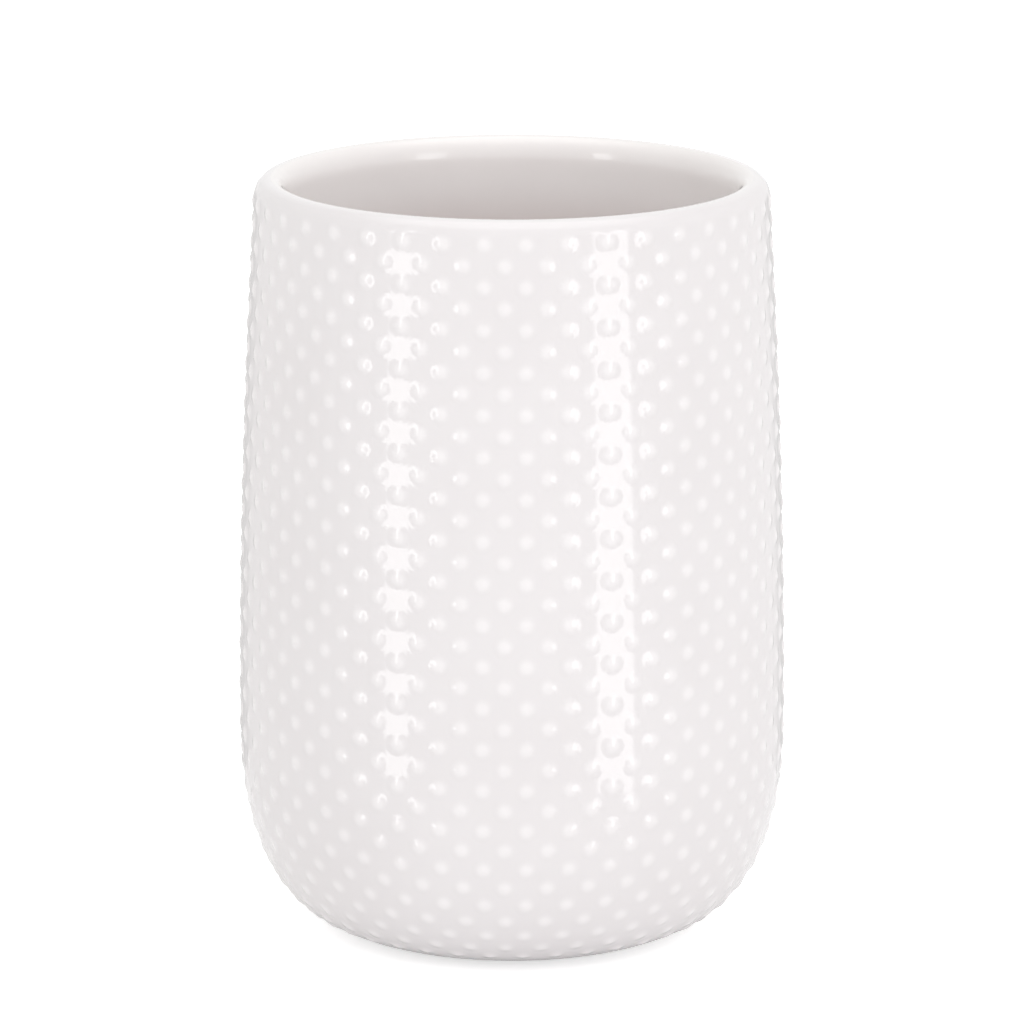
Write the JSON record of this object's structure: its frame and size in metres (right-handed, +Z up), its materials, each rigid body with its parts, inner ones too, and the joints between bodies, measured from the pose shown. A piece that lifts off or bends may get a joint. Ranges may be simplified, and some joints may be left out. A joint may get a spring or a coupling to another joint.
{
  "type": "bathroom tumbler",
  "caption": "Free-standing round glazed ceramic tumbler with a gently bellied side, a thick rounded lip, a bare foot ring and a staggered all-over pattern of small raised dots.",
  "frame": {"origin": "centre of the foot ring, on the surface that the tumbler stands on", "axes": "+Z up along the tumbler's axis, towards the mouth; -Y faces the camera of the picture"},
  "size_m": [0.0794, 0.0794, 0.11],
  "materials": {
    "bare_clay": "fired unglazed white clay, matt and very fine grained",
    "outer_glaze": "high-gloss white glaze with a faint warm pink cast",
    "inner_glaze": "high-gloss white glaze, smooth and plain",
    "base_glaze": "high-gloss white glaze, smooth and plain",
    "dot_glaze": "high-gloss white glaze, a shade lighter than the ground between the dots"
  },
  "bodies": {
    "root": {"clay_body": "bare_clay", "outer_glaze": "outer_glaze", "inner_glaze": "inner_glaze", "base_glaze": "base_glaze", "upper_dots": "dot_glaze", "middle_dots": "dot_glaze", "belly_dots": "dot_glaze", "lower_dots": "dot_glaze"}
  },
  "joints": []
}
